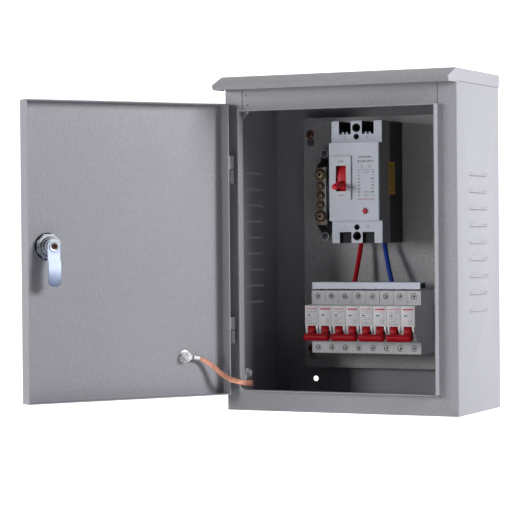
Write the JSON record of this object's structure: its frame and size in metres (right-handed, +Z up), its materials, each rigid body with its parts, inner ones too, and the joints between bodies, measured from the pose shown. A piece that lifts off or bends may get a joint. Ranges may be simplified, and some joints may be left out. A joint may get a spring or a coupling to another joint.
{
  "type": "electrical subpanel enclosure",
  "caption": "Wall-hung sheet-steel subpanel enclosure with hinged door, rain hood, main breaker, earth bar and modular breaker row.",
  "frame": {"origin": "centre of the box's flat rear face, which lies on the wall", "axes": "+X to the right seen from the front, +Y into the wall, +Z up; the open door swings out at the left towards -Y"},
  "size_m": [0.4604, 0.3737, 0.4056],
  "materials": {
    "paint": "satin, fine orange-peel texture",
    "zinc": "bright zinc plate",
    "chrome": "polished",
    "coppery": "yellow-passivated screw",
    "copper": "bare copper",
    "brass": "nickelled and bare brass",
    "white_plastic": "fine matt",
    "grey_plastic": "fine matt",
    "black_plastic": "satin",
    "red_plastic": "satin gloss",
    "rubber": "matt",
    "red_wire": "satin",
    "blue_wire": "satin"
  },
  "bodies": {
    "enclosure": {"side_panel_left": "paint", "side_panel_right": "paint", "top_panel": "paint", "bottom_panel": "paint", "back_panel": "paint", "rain_hood": "paint", "mounting_plate": "paint", "hinge_upper_frame_leaf": "paint", "hinge_lower_frame_leaf": "paint", "plate_screw_1": "coppery", "plate_screw_2": "coppery", "plate_screw_3": "coppery", "plate_screw_4": "coppery", "din_rail": "zinc", "hinge_upper_pin": "zinc", "hinge_lower_pin": "zinc", "foot_screw_upper": "zinc", "foot_screw_lower": "zinc", "earth_stud_box": "zinc", "earth_lug_box": "zinc", "earth_nut_box": "zinc", "breaker_case_1": "white_plastic", "breaker_case_2": "white_plastic", "breaker_case_3": "white_plastic", "breaker_case_4": "white_plastic", "busbar_housing": "grey_plastic", "main_breaker_cover": "grey_plastic", "main_breaker_escutcheon": "grey_plastic", "busbar_live": "copper", "busbar_neutral": "copper", "earth_strap": "copper", "main_breaker_base": "black_plastic", "terminal_bar_foot_upper": "black_plastic", "terminal_bar_foot_lower": "black_plastic", "terminal_bar": "brass", "terminal_bar_end_screw_1": "brass", "terminal_bar_end_screw_2": "brass", "terminal_bar_screw_1": "brass", "terminal_bar_screw_2": "brass", "terminal_bar_screw_3": "brass", "wire_live": "red_wire", "wire_neutral": "blue_wire"},
    "door": {"door_shell": "paint", "hinge_upper_door_leaf": "paint", "hinge_lower_door_leaf": "paint", "lock_housing": "chrome", "lock_gasket": "rubber", "lock_nut": "chrome", "earth_stud_door": "zinc", "earth_lug_door": "zinc", "earth_nut_door": "zinc"},
    "lock": {"lock_plug": "chrome", "lock_cam": "chrome", "lock_cam_screw": "coppery"},
    "toggle_1": {"breaker_toggle_1": "red_plastic"},
    "toggle_2": {"breaker_toggle_2": "red_plastic"},
    "toggle_3": {"breaker_toggle_3": "red_plastic"},
    "toggle_4": {"breaker_toggle_4": "red_plastic"},
    "main_lever": {"main_breaker_lever": "red_plastic"},
    "test_button": {"main_breaker_test_button": "red_plastic"}
  },
  "joints": [
    {"name": "door_hinge", "type": "hinge", "parent": "enclosure", "child": "door", "pos_m": [-0.1392, -0.1508, -0.00615], "axis": [0, 0, 1], "range_deg": [-4.7, 125.3], "deforming": ["earth_strap"]},
    {"name": "lock_turn", "type": "hinge", "parent": "door", "child": "lock", "pos_m": [-0.28951, -0.33661, 0.00015], "axis": [-0.8161, 0.5779, 0], "range_deg": [0, 90]},
    {"name": "toggle_1_throw", "type": "hinge", "parent": "enclosure", "child": "toggle_1", "pos_m": [-0.05155, -0.0865, -0.10765], "axis": [1, 0, 0], "range_deg": [-62, 0]},
    {"name": "toggle_2_throw", "type": "hinge", "parent": "enclosure", "child": "toggle_2", "pos_m": [-0.01545, -0.0865, -0.10765], "axis": [1, 0, 0], "range_deg": [-62, 0]},
    {"name": "toggle_3_throw", "type": "hinge", "parent": "enclosure", "child": "toggle_3", "pos_m": [0.02065, -0.0865, -0.10765], "axis": [1, 0, 0], "range_deg": [-62, 0]},
    {"name": "toggle_4_throw", "type": "hinge", "parent": "enclosure", "child": "toggle_4", "pos_m": [0.05675, -0.0865, -0.10765], "axis": [1, 0, 0], "range_deg": [-62, 0]},
    {"name": "main_lever_throw", "type": "hinge", "parent": "enclosure", "child": "main_lever", "pos_m": [-0.0176, -0.0665, 0.07885], "axis": [1, 0, 0], "range_deg": [-24, 0]},
    {"name": "test_button_press", "type": "slide", "parent": "enclosure", "child": "test_button", "axis": [0, 1, 0], "range_m": [0, 0.0016], "stiffness_N_per_m": 300, "springref_m": -0.001}
  ]
}
